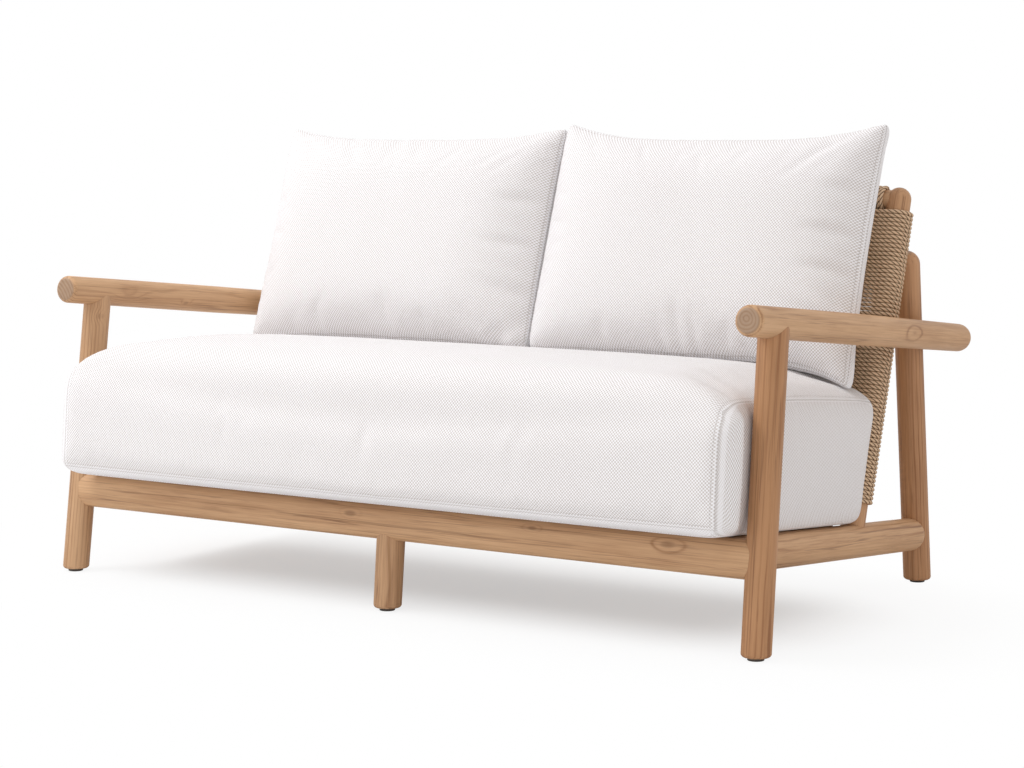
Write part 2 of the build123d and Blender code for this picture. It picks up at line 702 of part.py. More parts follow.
def seat_section(x, swell, tuck):
    """A cut across the seat cushion, in the deck's frame."""
    tucked = SEAT_TUCK * tuck
    low = SEAT_CLEAR + SEAT_DRAWN * (1 - swell) + tucked
    high = SEAT_THICK - tucked
    front = SEAT_FRONT - SEAT_END_OUT * (1 - swell) + tucked
    crown = SEAT_CROWN * swell
    front_top = high + crown * SEAT_TOP_FRONT_SHARE
    rear_top = high + crown * SEAT_TOP_REAR_SHARE

    def point(along, up):
        return Vector(x, along, up)

    def rear(up):
        return seat_rear(up) - tucked

    lower_rear = point(rear(low) - SEAT_EDGE, low)
    rear_low = point(rear(low + SEAT_EDGE), low + SEAT_EDGE)
    rear_high = point(rear(rear_top - SEAT_EDGE), rear_top - SEAT_EDGE)
    upper_rear = point(rear(rear_top) - SEAT_EDGE, rear_top)
    upper_front = point(front + SEAT_FRONT_ROUND, front_top)
    front_high = point(front, front_top - SEAT_FRONT_ROUND)
    front_low = point(front, low + SEAT_EDGE)
    lower_front = point(front + SEAT_EDGE, low)
    top_mid = point((upper_front.Y + upper_rear.Y) / 2, high + crown + SEAT_CLEAR)
    return make_face([
        Line(lower_front, lower_rear),
        corner(lower_rear, point(rear(low), low), rear_low),
        Line(rear_low, rear_high),
        corner(rear_high, point(rear(rear_top), rear_top), upper_rear),
        ThreePointArc(upper_rear, top_mid, upper_front),
        corner(upper_front, point(front, front_top), front_high),
        Line(front_high, front_low),
        corner(front_low, point(front, low), lower_front),
    ])


def beside_leg(side):
    """The room that the seat cushion leaves for a front leg and all that stands behind it."""
    front = front_leg_at(side, DECK_HEIGHT).Y - LEG_TOP_R - SEAT_LEG_GAP
    room = 4 * SEAT_THICK
    aligned = (Align.MIN if side > 0 else Align.MAX, Align.MIN, Align.CENTER)
    return Pos(side * SEAT_HALF, front, 0) * Box(room, room, room, align=aligned)


def seat_cushion():
    left_half = [(-x, swell, tuck) for x, swell, tuck in reversed(SEAT_STATION_SHARES[1:])]
    stations = left_half + list(SEAT_STATION_SHARES)
    half = SEAT_HALF + SEAT_SWELL
    sections = [seat_section(x * half, swell, tuck) for x, swell, tuck in stations]
    cushion = loft(sections, ruled=True)
    return deck_frame().location * without(cushion, [beside_leg(side) for side in (-1, 1)])


def back_section(side, share, swell):
    """A cut across a back cushion, in the back's frame: two bowed faces and the edge band at top and bottom."""
    x = BACK_CLEAR + (BACK_HALF - BACK_CLEAR) * share
    edge = abs(2 * share - 1) ** 4
    top = BACK_TOP + (BACK_CORNER_TOP - BACK_TOP) * edge
    bottom = BACK_BOTTOM + (BACK_CORNER_BOTTOM - BACK_BOTTOM) * share**12
    half = BACK_BAND / 2
    middle = (BACK_BAND_LOW + BACK_BAND_HIGH) / 2
    front = middle + half + BACK_BOW + (BACK_FRONT - middle - half - BACK_BOW) * swell
    rear_room = middle - half - BACK_BOW - ROPE_FRONT - BACK_CLEAR
    rear = middle - half - BACK_BOW - rear_room * swell
    mid_up = (top + bottom) / 2

    def point(up, forward):
        return Vector(side * x, up, forward)

    low_rear, low_front = (point(bottom, BACK_BAND_LOW + half * way) for way in (-1, 1))
    high_rear, high_front = (point(top, BACK_BAND_HIGH + half * way) for way in (-1, 1))
    return make_face([
        Line(low_rear, low_front),
        ThreePointArc(low_front, point(mid_up, front), high_front),
        Line(high_front, high_rear),
        ThreePointArc(high_rear, point(mid_up, rear), low_rear),
    ])


def back_cushion(side):
    sections = [back_section(side, share, swell) for share, swell in BACK_STATION_SHARES]
    return back_frame().location * loft(sections)


def pieces():
    parts = frame_members()
    parts.update({f"foot_glide_{name}": glide(foot) for name, foot in feet().items()})
    parts["joint_dowels"] = Compound([dowel(seat) for seat in dowel_lines()])
    parts["frame_bolts"] = Compound([bolt(seat) for seat in bolt_lines()])
    parts["bolt_plugs"] = Compound([plug(seat) for seat in bolt_lines()])
    parts["slat_screws"] = Compound([screw(head) for head in screw_places()])
    parts.update(ropes())
    parts["seat_cushion"] = seat_cushion()
    parts["back_cushion_left"] = back_cushion(-1)
    parts["back_cushion_right"] = back_cushion(1)
    return parts


def main():
    os.makedirs("parts", exist_ok=True)
    for name, solid in pieces().items():
        export_step(solid, f"parts/{name}.step")
        print(name, f"{solid.volume / 1000:.1f} cm3")


main()
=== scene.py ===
"""Dresses the loveseat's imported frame: teak, laid rope, fittings, and padded cushions in a woven cover."""

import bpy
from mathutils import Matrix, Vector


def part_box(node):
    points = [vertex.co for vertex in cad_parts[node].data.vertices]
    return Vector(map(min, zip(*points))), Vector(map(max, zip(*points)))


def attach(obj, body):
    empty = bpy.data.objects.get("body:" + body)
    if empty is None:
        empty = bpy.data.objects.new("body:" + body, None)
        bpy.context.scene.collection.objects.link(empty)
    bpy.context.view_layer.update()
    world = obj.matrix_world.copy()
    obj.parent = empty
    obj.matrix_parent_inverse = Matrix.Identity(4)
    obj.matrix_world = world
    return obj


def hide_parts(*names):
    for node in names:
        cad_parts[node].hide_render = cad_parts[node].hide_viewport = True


bl_info = {
    "name": "Rope-back loveseat",
    "version": (1, 0, 0),
    "blender": (4, 5, 0),
    "location": "3D View > Sidebar > Loveseat",
    "description": "Teak, rope, cushions and a studio for a rope-back garden loveseat",
    "category": "Object",
}

from math import cos, pi, radians, sin, tan

import bmesh
import bpy
import numpy as np
from bpy.props import FloatProperty, FloatVectorProperty, PointerProperty
from bpy.types import Operator, Panel, PropertyGroup
from mathutils import Vector

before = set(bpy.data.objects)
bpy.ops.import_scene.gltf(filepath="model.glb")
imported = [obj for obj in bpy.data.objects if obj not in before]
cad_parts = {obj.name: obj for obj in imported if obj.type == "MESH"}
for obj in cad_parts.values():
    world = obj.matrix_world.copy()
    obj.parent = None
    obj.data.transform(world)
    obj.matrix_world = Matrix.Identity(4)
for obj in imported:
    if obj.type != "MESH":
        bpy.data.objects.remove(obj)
SIDES = ((-1, "left"), (1, "right"))


# Places on the frame, in metres
DECK_SLOPE = radians(5.16)
BACK_LEAN = radians(17.34)
ARM_SLOPE = radians(5.77)
FRONT_LEG_LEAN = radians(7.18)
FRONT_LEG_SPLAY = radians(0.89)
CENTRE_LEG_LEAN = radians(4.52)
REAR_LEG_LEAN = radians(7.28)


class Rest:
    """A frame of reference on the sofa: an origin and three directions."""

    def __init__(self, origin, across, up, out):
        self.origin = np.array(origin)
        self.axes = np.array([across, up, out])

    def point(self, local):
        return self.origin + np.asarray(local) @ self.axes


DECK = Rest(
    (0, 0, 0.193), (1, 0, 0),
    (0, cos(DECK_SLOPE), -sin(DECK_SLOPE)), (0, sin(DECK_SLOPE), cos(DECK_SLOPE)),
)
BACK = Rest(
    (0, 0.5056, 0.1864), (1, 0, 0),
    (0, sin(BACK_LEAN), cos(BACK_LEAN)), (0, -cos(BACK_LEAN), sin(BACK_LEAN)),
)
STILE_X = 0.6765
STILE_R = 0.022
TOP_RAIL_R = 0.019
TOP_RAIL_UP = 0.564
ROPE_FRONT = 0.0298
ROPE_AXIS_OFF = 0.00405  # from the face of what it is wound on to the rope's axis


# Settings that a user would change
def metres(text, default):
    return FloatProperty(name=text, description=text, default=default, min=0.0, max=3.0, unit="LENGTH")


def colour(text, default):
    return FloatVectorProperty(
        name=text, description=text, default=default, min=0.0, max=1.0, size=3, subtype="COLOR"
    )


class TeakSettings(PropertyGroup):
    light: colour("Light wood between the rings", (0.60, 0.37, 0.205))
    dark: colour("Dark wood of the rings", (0.33, 0.165, 0.075))
    pore: colour("Pores and fine streaks", (0.17, 0.078, 0.036))
    ring: metres("Spacing of the growth rings", 0.0068)


class RopeSettings(PropertyGroup):
    radius: metres("Radius of the rope", 0.00392)
    spacing: metres("Distance from one turn to the next", 0.008)
    lay: metres("Length of one twist of the strands", 0.030)
    # light paints the strand crests as lit; dark paints the grooves between strands in shade
    light: colour("Strands in the light", (0.83, 0.60, 0.395))
    dark: colour("Strands in the grooves", (0.11, 0.05, 0.023))


class SeatSettings(PropertyGroup):
    seam: metres("Half width between the end seams", 0.700)
    bulge: metres("Swell of the end panels beside the legs", 0.005)
    corner: metres("Swell of the end panels in front of the legs", 0.027)
    front: metres("Front face along the deck, at the middle", 0.080)
    thick: metres("Thickness at the end seams", 0.219)
    crown: metres("Rise of the top at the middle", 0.062)
    low_seam: metres("Height of the seam along the front's foot", 0.007)


class BackSettings(PropertyGroup):
    half: metres("Outer edges from the middle of the sofa", 0.684)
    top: metres("Height of the top edge at its middle", 0.652)
    corner: metres("Height of the upper corners", 0.690)
    bottom: metres("Height of the bottom edge", 0.219)
    band: metres("Width of the edge band", 0.026)
    front: metres("Front of the crown", 0.182)


class ClothSettings(PropertyGroup):
    cell: metres("Width of one cell of the weave", 0.0029)
    # The raised yarn's cool tone partly paints the light on the weave's tops; the darker, warmer yarn between
    # partly paints the shade in its hollows
    light: colour("Raised yarn", (0.945, 0.938, 0.957))
    dark: colour("Yarn between", (0.60, 0.555, 0.53))
    thread: colour("Seams and stitches", (0.42, 0.385, 0.36))


class StudioSettings(PropertyGroup):
    key: FloatProperty(
        name="Key light", description="Power of the large soft lamp", default=101.0, unit="POWER"
    )
    fill: FloatProperty(
        name="Fill light", description="Power of the weak lamp in front", default=5.0, unit="POWER"
    )
    sky: FloatProperty(name="Sky", description="Strength of the light from all round", default=0.83)
    lens: FloatProperty(name="Lens", description="Focal length in millimetres", default=84.05)


def settings(context, name):
    return getattr(context.scene, f"loveseat_{name}")


# Shader maths
class Sock:
    """A shader socket that takes part in Python sums."""

    def __init__(self, tree, socket):
        self.tree = tree
        self.socket = socket

    def node(self, kind, options=None, values=None, out=0):
        """Any node: its settings first, then the values or links of its sockets."""
        made = self.tree.nodes.new(kind)
        for name, value in (options or {}).items():
            setattr(made, name, value)
        for key, value in (values or {}).items():
            if isinstance(value, Sock):
                self.tree.links.new(value.socket, made.inputs[key])
            else:
                made.inputs[key].default_value = value
        return Sock(self.tree, made.outputs[out])

    def maths(self, operation, *others):
        return self.node("ShaderNodeMath", {"operation": operation}, dict(enumerate((self,) + others)))

    def vector(self, operation, other, out=0):
        return self.node("ShaderNodeVectorMath", {"operation": operation}, {0: self, 1: other}, out)

    def __add__(self, other):
        return self.maths("ADD", other)

    __radd__ = __add__

    def __sub__(self, other):
        return self.maths("SUBTRACT", other)

    def __rsub__(self, other):
        return self.maths("MULTIPLY_ADD", -1.0, other)

    def __mul__(self, other):
        return self.maths("MULTIPLY", other)

    __rmul__ = __mul__

    def __truediv__(self, other):
        return self.maths("DIVIDE", other)

    def __pow__(self, other):
        return self.maths("POWER", other)

    def __abs__(self):
        return self.maths("ABSOLUTE")

    def smooth(self, low, high):
        """0 below low, 1 above high and smooth between."""
        return self.node(
            "ShaderNodeMapRange", {"interpolation_type": "SMOOTHSTEP"}, {0: self, 1: low, 2: high}
        )

    def mix(self, a, b):
        """Colour a where this is 0 and colour b where it is 1."""
        colours = {6: opaque(a), 7: opaque(b)}
        return self.node("ShaderNodeMix", {"data_type": "RGBA"}, {0: self, **colours}, 2)

    def noise(self, scale, detail=2.0, rough=0.5):
        """Noise at this place, from 0 to 1."""
        values = {"Vector": self, "Scale": scale, "Detail": detail, "Roughness": rough}
        return self.node("ShaderNodeTexNoise", None, values)

    def parts(self):
        split = self.node("ShaderNodeSeparateXYZ", None, {0: self})
        outputs = split.socket.node.outputs
        return [Sock(self.tree, outputs[i]) for i in range(3)]

    def bump(self, distance, strength=1.0, normal=None):
        values = {"Height": self, "Distance": distance, "Strength": strength}
        if normal:
            values["Normal"] = normal
        return self.node("ShaderNodeBump", None, values)


def opaque(value):
    return value if isinstance(value, Sock) else (*value[:3], 1.0)


def new_material(name):
    """A material with a Principled shader: the material, the shader and a socket to start from."""
    material = bpy.data.materials.new(name)
    material.use_nodes = True
    shader = material.node_tree.nodes["Principled BSDF"]
    return material, shader, Sock(material.node_tree, shader.outputs[0])


def object_place(start):
    """Object coordinates."""
    return start.node("ShaderNodeTexCoord", None, None, 3)


def feed(shader, **inputs):
    """Links or sets the shader's inputs; an underscore in a name stands for a space."""
    for name, value in inputs.items():
        socket = shader.inputs[name.replace("_", " ")]
        if isinstance(value, Sock):
            value.tree.links.new(value.socket, socket)
        else:
            socket.default_value = value


def plain_material(name, shade, roughness, metallic=0.0, grain=900.0):
    material, shader, start = new_material(name)
    place = object_place(start)
    speck = place.noise(grain, 3.0)
    feed(
        shader,
        Base_Color=speck.mix([c * 0.8 for c in shade], [min(1.0, c * 1.2) for c in shade]),
        Roughness=speck * 0.2 + (roughness - 0.1),
        Metallic=metallic,
        Normal=speck.bump(0.0001, 0.4),
    )
    return material


# Teak
# Knots of a node: each has a place, a reach and how dark its heart is
KNOTS = {
    "front_rail": (
        ((0.579, -0.012, 0.174), 0.013, 0.4),
        ((-0.072, -0.012, 0.170), 0.012, 0.5),
        ((0.314, -0.012, 0.178), 0.008, 0.5),
    ),
    "armrest_left": (((-0.708, 0.117, 0.530), 0.016, 0.08), ((-0.710, 0.288, 0.506), 0.007, 0.4)),
    "front_leg_left": (((-0.713, 0.038, 0.495), 0.012, 0.15),),
    "armrest_right": (((0.761, 0.562, 0.492), 0.014, 0.05),),
}
FRONT_FACE = 0.03  # knots nearer the front than this lie on the front rail
# Where the pith runs beside a node's middle: how far off, and in which direction
PITHS = {"armrest_left": 0.07, "armrest_right": 0.005}
PITH_ANGLES = {"armrest_left": 2.4}
END_GRAIN = (0.66, 0.79, 1.05)
# Tints of members: the darker, redder front right leg, rear legs and stiles are partly the wood's own tone and
# partly painted shade; rails and armrests are tinted lighter
TEAK_TINTS_AND_SHADE = (
    ("front_leg_right", (0.84, 0.72, 0.62)), ("rear_leg", (0.93, 0.83, 0.76)),
    ("armrest", (1.06, 1.06, 1.05)), ("front_rail", (1.06, 1.06, 1.05)),
    ("back_stile", (0.97, 0.9, 0.85)), ("side_rail", (1.12, 1.12, 1.1)),
)


def tinted(shade, tint):
    return [a * b for a, b in zip(shade, tint)]


def teak_tint_and_shade(node):
    return next((tint for begins, tint in TEAK_TINTS_AND_SHADE if node.startswith(begins)), (1.0, 1.0, 1.0))


def along_grain(grain, share):
    """Draws what follows out along the grain."""
    return grain.node("ShaderNodeMapping", None, {0: grain, 3: (1.0, 1.0, share)})


def knot_at(place, spot, reach):
    """1 at a knot's heart, falling to 0 round it; drawn out along x on the front rail and along y elsewhere."""
    stretch = (0.4, 1.0, 1.0) if abs(spot[1]) < FRONT_FACE else (1.0, 0.4, 1.0)
    off = place.vector("SUBTRACT", spot).vector("MULTIPLY", [s / reach for s in stretch])
    square = off.vector("DOT_PRODUCT", off, 1)
    return (square * -1.0).maths("EXPONENT")


def teak_material(node, axis, wood, seed):
    """Teak sawn along the axis: growth rings round a pith beside the bar, fibre and short dark pores."""
    material, shader, start = new_material(f"teak_{node}")
    place = object_place(start)
    upright = Vector(axis).rotation_difference(Vector((0, 0, 1)))
    turn = upright.to_euler()
    low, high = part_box(node)
    heart = upright @ ((Vector(low) + Vector(high)) / 2)
    pith = PITHS.get(node, 0.024 + 0.008 * sin(seed * 2.1))
    aside = PITH_ANGLES.get(node, seed * 1.7)
    shift = (seed * 0.37, seed * 0.23, seed * 1.31)
    grain = place.node("ShaderNodeMapping", None, {0: place, 1: shift, 2: turn})
    x, y, _ = grain.parts()
    wander = along_grain(grain, 0.22).noise(7.0, 3.0, 0.55) - 0.5
    dx = x - (shift[0] + heart.x + pith * cos(aside)) + wander * 0.022
    dy = y - (shift[1] + heart.y + pith * sin(aside)) - wander * 0.016
    distance = (dx * dx + dy * dy) ** 0.5
    uneven = (distance * 55.0).maths("SINE") * 1.6 + wander * 5.0
    knot = 0.0
    for spot, reach, dark in KNOTS.get(node, ()):
        near = knot_at(place, spot, reach)
        uneven = uneven + near * 9.0
        knot = near.smooth(0.72, 0.97) * dark + knot
    ring = (distance * (2 * pi / wood.ring) + uneven).maths("SINE") * 0.5 + 0.5
    fibre = along_grain(grain, 0.022).noise(340.0, 4.0, 0.7)
    streak = along_grain(grain, 0.035).noise(75.0, 4.0, 0.6)
    pores = along_grain(grain, 0.03).noise(520.0, 1.0)
    cloud = along_grain(grain, 0.25).noise(11.0, 2.0)
    figure = along_grain(grain, 0.12).noise(16.0, 2.0).smooth(0.4, 0.66)
    ridges = (along_grain(grain, 0.016).noise(110.0, 2.0) - 0.5) * 14.0
    line = 1.0 - abs(ridges).smooth(0.04, 0.4)
    pore = pores.smooth(0.62, 0.72) * (ring * 0.5 + 0.5)
    tone = ring ** 5.0 * (figure * 0.42 + 0.06) + (fibre - 0.5) * 0.9
    tone = tone + (streak - 0.5) * 0.65 + (cloud - 0.5) * 0.8 + 0.33
    # The member's tint, which for the front right leg, rear legs and stiles is partly painted shade
    tint = teak_tint_and_shade(node)
    base = tone.smooth(0.0, 1.0).mix(tinted(wood.light, tint), tinted(wood.dark, tint))
    base = (pore * 0.3).mix(base, wood.pore)
    base = (line * (streak.smooth(0.43, 0.62) * 0.55)).mix(base, wood.pore)
    if node in KNOTS:
        base = knot.mix(base, wood.pore)
    normal = start.node("ShaderNodeTexCoord", None, None, 1)
    facing = normal.vector("DOT_PRODUCT", tuple(Vector(axis).normalized()), 1)
    end = abs(facing).smooth(0.75, 0.97)
    cut = ring * 0.75 + fibre * 0.25
    cut = cut.mix(tinted(wood.dark, END_GRAIN), tinted(wood.light, END_GRAIN))
    base = (end * 0.75).mix(base, cut)
    height = 0.55 * fibre - pore * 0.7 - line * 0.2
    feed(
        shader,
        Base_Color=base,
        Roughness=fibre * 0.16 + 0.46,
        Normal=height.bump(0.00035, 0.55),
    )
    shader.inputs["Specular IOR Level"].default_value = 0.35
    return material


def wood_axes():
    """The direction of the grain in each wooden node."""
    arm = (0, cos(ARM_SLOPE), -sin(ARM_SLOPE))
    deck = tuple(DECK.axes[1])
    back = tuple(BACK.axes[1])
    rear = (0, -tan(REAR_LEG_LEAN), 1)
    axes = {}
    for side, name in SIDES:
        axes[f"armrest_{name}"] = arm
        axes[f"side_rail_{name}"] = deck
        axes[f"seat_cleat_{name}"] = deck
        axes[f"front_leg_{name}"] = (-side * tan(FRONT_LEG_SPLAY), tan(FRONT_LEG_LEAN), 1)
        axes[f"rear_leg_{name}"] = rear
        axes[f"back_stile_{name}"] = back
    axes["centre_leg"] = (0, tan(CENTRE_LEG_LEAN), 1)
    axes["centre_bearer"] = deck
    for name in ("front_rail", "rear_rail", "back_top_rail", "back_bottom_rail"):
        axes[name] = (1, 0, 0)
    for number in range(1, 7):
        axes[f"seat_slat_{number}"] = (1, 0, 0)
    axes["joint_dowels"] = (0, 0, 1)
    axes["bolt_plugs"] = (0, 1, 0)
    return axes


def paint(node, material):
    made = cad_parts[node]
    made.data.materials.clear()
    made.data.materials.append(material)


class LOVESEAT_OT_teak(Operator):
    """Gives every wooden member its own run of teak"""

    bl_idname = "loveseat.teak"
    bl_label = "Teak frame"

    def execute(self, context):
        wood = settings(context, "teak")
        for seed, (node, axis) in enumerate(sorted(wood_axes().items()), 1):
            paint(node, teak_material(node, axis, wood, seed))
        return {"FINISHED"}


class LOVESEAT_OT_fittings(Operator):
    """Finishes the glides, bolts and screws"""

    bl_idname = "loveseat.fittings"
    bl_label = "Glides, bolts and screws"

    def execute(self, context):
        rubber = plain_material("glide_rubber", (0.095, 0.078, 0.064), 0.6)
        steel = plain_material("zinc_steel", (0.62, 0.61, 0.59), 0.35, 1.0)
        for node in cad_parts:
            if node.startswith("foot_glide"):
                paint(node, rubber)
        for node in ("frame_bolts", "slat_screws"):
            paint(node, steel)
        return {"FINISHED"}


# Rope
BACK_WINDINGS = (18, 18, 18, 13)  # turns of each winding in the solids
ROOM_BEFORE = {4: 1}              # turns of room below a winding, beside the bolts
EXTRA_TURNS = {3: 1}              # turns that the dressed winding has more than the solid
TOP_TURNS = 24                    # turns of rope at each end of the top rail
ROUTE_STEP = 0.0034               # between the points of a route near the stiles
FAR_STEP = 0.12                   # between them in the middle
NEAR_STILE = 0.1                  # how far from a stile the strands are shaped
GROOVE = 0.24                     # depth of the grooves, as a share of the radius


def rope_material(rope):
    """Three twisted strands with their yarns, on a map of turns round the rope and metres along it; the crests
    are painted lit and the grooves painted in shade.
    """
    material, shader, start = new_material("laid_rope")
    around, along, _ = start.node("ShaderNodeUVMap", {"uv_map": "lay"}).parts()
    place = object_place(start)
    twist = (around - along / rope.lay) * (3 * pi)
    strand = abs(twist.maths("COSINE"))
    yarn = ((around * 3 + along * (2.2 / rope.lay)) * (2 * pi * 4)).maths("SINE") * 0.5 + 0.5
    fuzz = place.noise(1500.0, 3.0, 0.6)
    patch = place.noise(26.0, 3.0, 0.6)
    # high is 1 on a strand's crest: painted light there, painted shade in the grooves between strands
    high = strand.smooth(0.0, 0.75)
    tone = high * (0.66 + 0.2 * yarn) + patch * 0.22 - 0.1 + (fuzz - 0.5) * 0.35
    base = tone.smooth(0.0, 1.0).mix(rope.dark, rope.light)
    height = high + 0.22 * yarn + 0.25 * fuzz
    feed(shader, Base_Color=base, Roughness=0.85 - 0.1 * fuzz, Normal=height.bump(0.0009, 0.85))
    shader.inputs["Specular IOR Level"].default_value = 0.2
    return material


def half_turn(centre, radial, out, climb, pitch, radius, steps):
    """Points of a flat half circle that starts at +out, swells along radial and climbs half a pitch."""
    angles = np.linspace(0, pi, steps)[:, None]
    rise = (angles / pi - 0.5) * (pitch / 2)
    return centre + np.cos(angles) * radius * out + np.sin(angles) * radius * radial + rise * climb


def run_points(start, end, near, step, far_step):
    """Places along a straight run: close together near both ends, further apart between."""
    whole = np.linalg.norm(end - start)
    fine = np.arange(step, near, step)
    middle = np.linspace(near, whole - near, max(2, int((whole - 2 * near) / far_step)))
    places = np.concatenate([fine, middle, whole - fine[::-1]])
    return start + (end - start) * (places / whole)[:, None]


def panel_route(rope, first_turn, turns):
    """Centre line of one winding on the back: loops across the sofa, round both stiles."""
    across, climb, out = BACK.axes
    radius = STILE_R + ROPE_AXIS_OFF
    pieces = []
    for half in range(2 * turns):
        side = 1 if half % 2 == 0 else -1
        level = (first_turn + half / 2) * rope.spacing
        face = out * (radius * side)
        begin = BACK.point((-side * STILE_X, level, 0)) + face
        end = BACK.point((side * STILE_X, level, 0)) + face
        if half == 0:
            begin = begin + across * 0.012
        pieces.append(run_points(begin, end, NEAR_STILE, ROUTE_STEP, FAR_STEP))
        centre = BACK.point((side * STILE_X, level + rope.spacing / 4, 0))
        pieces.append(half_turn(centre, across * side, out * side, climb, rope.spacing, radius, 26))
    return np.concatenate(pieces)


def wrap_route(rope, start_x, inwards, turns, steps):
    """Centre line of loops round the top rail."""
    across, climb, out = BACK.axes
    radius = TOP_RAIL_R + ROPE_AXIS_OFF
    flat_turns = 0.7  # the first loop starts square to the rail
    angle = np.linspace(0, 2 * pi * turns, turns * steps + 1)[:, None]
    centre = BACK.point((start_x, TOP_RAIL_UP, 0))
    share = np.maximum(angle / (2 * pi) - flat_turns, 0.0) * turns / (turns - flat_turns)
    advance = share * rope.spacing * inwards
    return centre + climb * (radius * np.cos(angle)) + out * (radius * np.sin(angle)) + advance * across


def round_tube(name, route, radius, sides):
    """A round tube along the route, as a mesh whose rings follow one another."""
    curve = bpy.data.curves.new(name, "CURVE")
    curve.dimensions = "3D"
    curve.bevel_depth = radius
    curve.bevel_resolution = (sides - 4) // 2
    spline = curve.splines.new("POLY")
    spline.points.add(len(route) - 1)
    flat = np.column_stack([route, np.ones(len(route))]).astype(np.float32)
    spline.points.foreach_set("co", flat.ravel())
    holder = bpy.data.objects.new(name, curve)
    bpy.context.scene.collection.objects.link(holder)
    tube = bpy.data.meshes.new_from_object(holder.evaluated_get(bpy.context.evaluated_depsgraph_get()))
    bpy.data.objects.remove(holder)
    bpy.data.curves.remove(curve)
    close_ends(tube)
    return tube


def close_ends(mesh):
    bm = bmesh.new()
    bm.from_mesh(mesh)
    bmesh.ops.holes_fill(bm, edges=[e for e in bm.edges if e.is_boundary], sides=0)
    bmesh.ops.recalc_face_normals(bm, faces=bm.faces)
    bm.to_mesh(mesh)
    bm.free()


def lay_strands(tube, route, rope, reference, loft):
    """Presses three twisted strands into a tube and maps it; loft is the grooves' share at each ring."""
    rings = len(route)
    points = np.empty(len(tube.vertices) * 3, np.float32)
    tube.vertices.foreach_get("co", points)
    points = points.reshape(-1, 3).astype(float)
    sides = len(points) // rings
    body = points[: rings * sides].reshape(rings, sides, 3)
    tangent = np.gradient(route, axis=0)
    tangent /= np.linalg.norm(tangent, axis=1, keepdims=True)
    first = reference - tangent * (tangent @ reference)[:, None]
    first /= np.linalg.norm(first, axis=1, keepdims=True)
    second = np.cross(tangent, first)
    spoke = body - route[:, None, :]
    angle = np.arctan2((spoke * second[:, None, :]).sum(2), (spoke * first[:, None, :]).sum(2))
    steps = np.linalg.norm(np.diff(route, axis=0), axis=1)
    along = np.concatenate([[0.0], np.cumsum(steps)])
    turn = angle / (2 * pi)
    strand = np.abs(np.cos((turn - along[:, None] / rope.lay) * 3 * pi))
    depth = GROOVE * loft[:, None] * (1.0 - strand ** 0.8)
    body = route[:, None, :] + spoke * (1.0 - depth)[:, :, None]
    points[: rings * sides] = body.reshape(-1, 3)
    tube.vertices.foreach_set("co", points.astype(np.float32).ravel())
    map_tube(tube, np.repeat(along, sides), turn.ravel())


def map_tube(tube, along, turn):
    """A UV map of turns round the rope and metres along it, with no jump across a face."""
    corners = np.empty(len(tube.loops), np.int32)
    tube.loops.foreach_get("vertex_index", corners)
    starts = np.empty(len(tube.polygons), np.int32)
    tube.polygons.foreach_get("loop_start", starts)
    owner = np.zeros(len(tube.loops), np.int64)
    owner[starts] = 1
    owner = np.cumsum(owner) - 1
    around = turn[corners]
    highest = np.maximum.reduceat(around, starts)[owner]
    around = np.where(highest - around > 0.5, around + 1.0, around)
    layer = tube.uv_layers.new(name="lay")
    layer.data.foreach_set("uv", np.column_stack([around, along[corners]]).astype(np.float32).ravel())


def finish_rope(name, route, rope, material, node, reference, sides, loft):
    tube = round_tube(name, route, rope.radius, sides)
    lay_strands(tube, route, rope, np.array(reference, float), loft)
    tube.polygons.foreach_set("use_smooth", [True] * len(tube.polygons))
    tube.materials.clear()
    tube.materials.append(material)
    made = add_piece(name, tube)
    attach(made, "frame")
    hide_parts(node)
    return made


def add_piece(name, mesh):
    made = bpy.data.objects.new(name, mesh)
    bpy.context.scene.collection.objects.link(made)
    return made


class LOVESEAT_OT_back_rope(Operator):
    """Winds laid rope across the back and round both stiles"""

    bl_idname = "loveseat.back_rope"
    bl_label = "Back rope"

    def execute(self, context):
        rope = settings(context, "rope")
        material = rope_material(rope)
        first = 0
        for number, turns in enumerate(BACK_WINDINGS, 1):
            first += ROOM_BEFORE.get(number, 0)
            route = panel_route(rope, first, turns + EXTRA_TURNS.get(number, 0))
            loft = np.clip((np.abs(route[:, 0]) - (STILE_X - NEAR_STILE)) / 0.03, 0.0, 1.0)
            name, node = f"rope_back_{number}", f"back_rope_{number}"
            finish_rope(name, route, rope, material, node, BACK.axes[1], 14, loft)
            first += turns
        return {"FINISHED"}


class LOVESEAT_OT_top_rope(Operator):
    """Winds laid rope round the top rail"""

    bl_idname = "loveseat.top_rope"
    bl_label = "Top rail rope"

    def execute(self, context):
        rope = settings(context, "rope")
        material = bpy.data.materials["laid_rope"]
        start_x = STILE_X - STILE_R - 0.0045
        for side, name in SIDES:
            route = wrap_route(rope, side * start_x, -side, TOP_TURNS, 48)
            loft = np.ones(len(route))
            finish_rope(f"rope_top_{name}", route, rope, material, f"top_rope_{name}", (1, 0, 0), 14, loft)
        inner = start_x - (TOP_TURNS + 0.6) * rope.spacing
        count = int(2 * inner / rope.spacing)
        route = wrap_route(rope, -inner, 1, count, 20)
        plain = np.zeros(len(route))
        finish_rope("rope_top_middle", route, rope, material, "top_rope_middle", (1, 0, 0), 10, plain)
        return {"FINISHED"}


# Cushions
SEAT_COUNTS = (116, 48, 20)
BACK_COUNTS = (84, 60, 3)
# How each cover is settled: how much looser it is cut, pressure, frames, and how far a point may move
SEAT_PUFF = (0.004, 3.0, 16, 0.007)
BACK_PUFF = (0.012, 3.5, 18, 0.008)
# How far and how widely a cover is drawn in along its seams
SEAT_SEAMS = (0.0032, 0.010)
BACK_SEAMS = (0.0018, 0.006)
HELD_FOOT = 0.012  # the seat's cover is held below this height above the deck


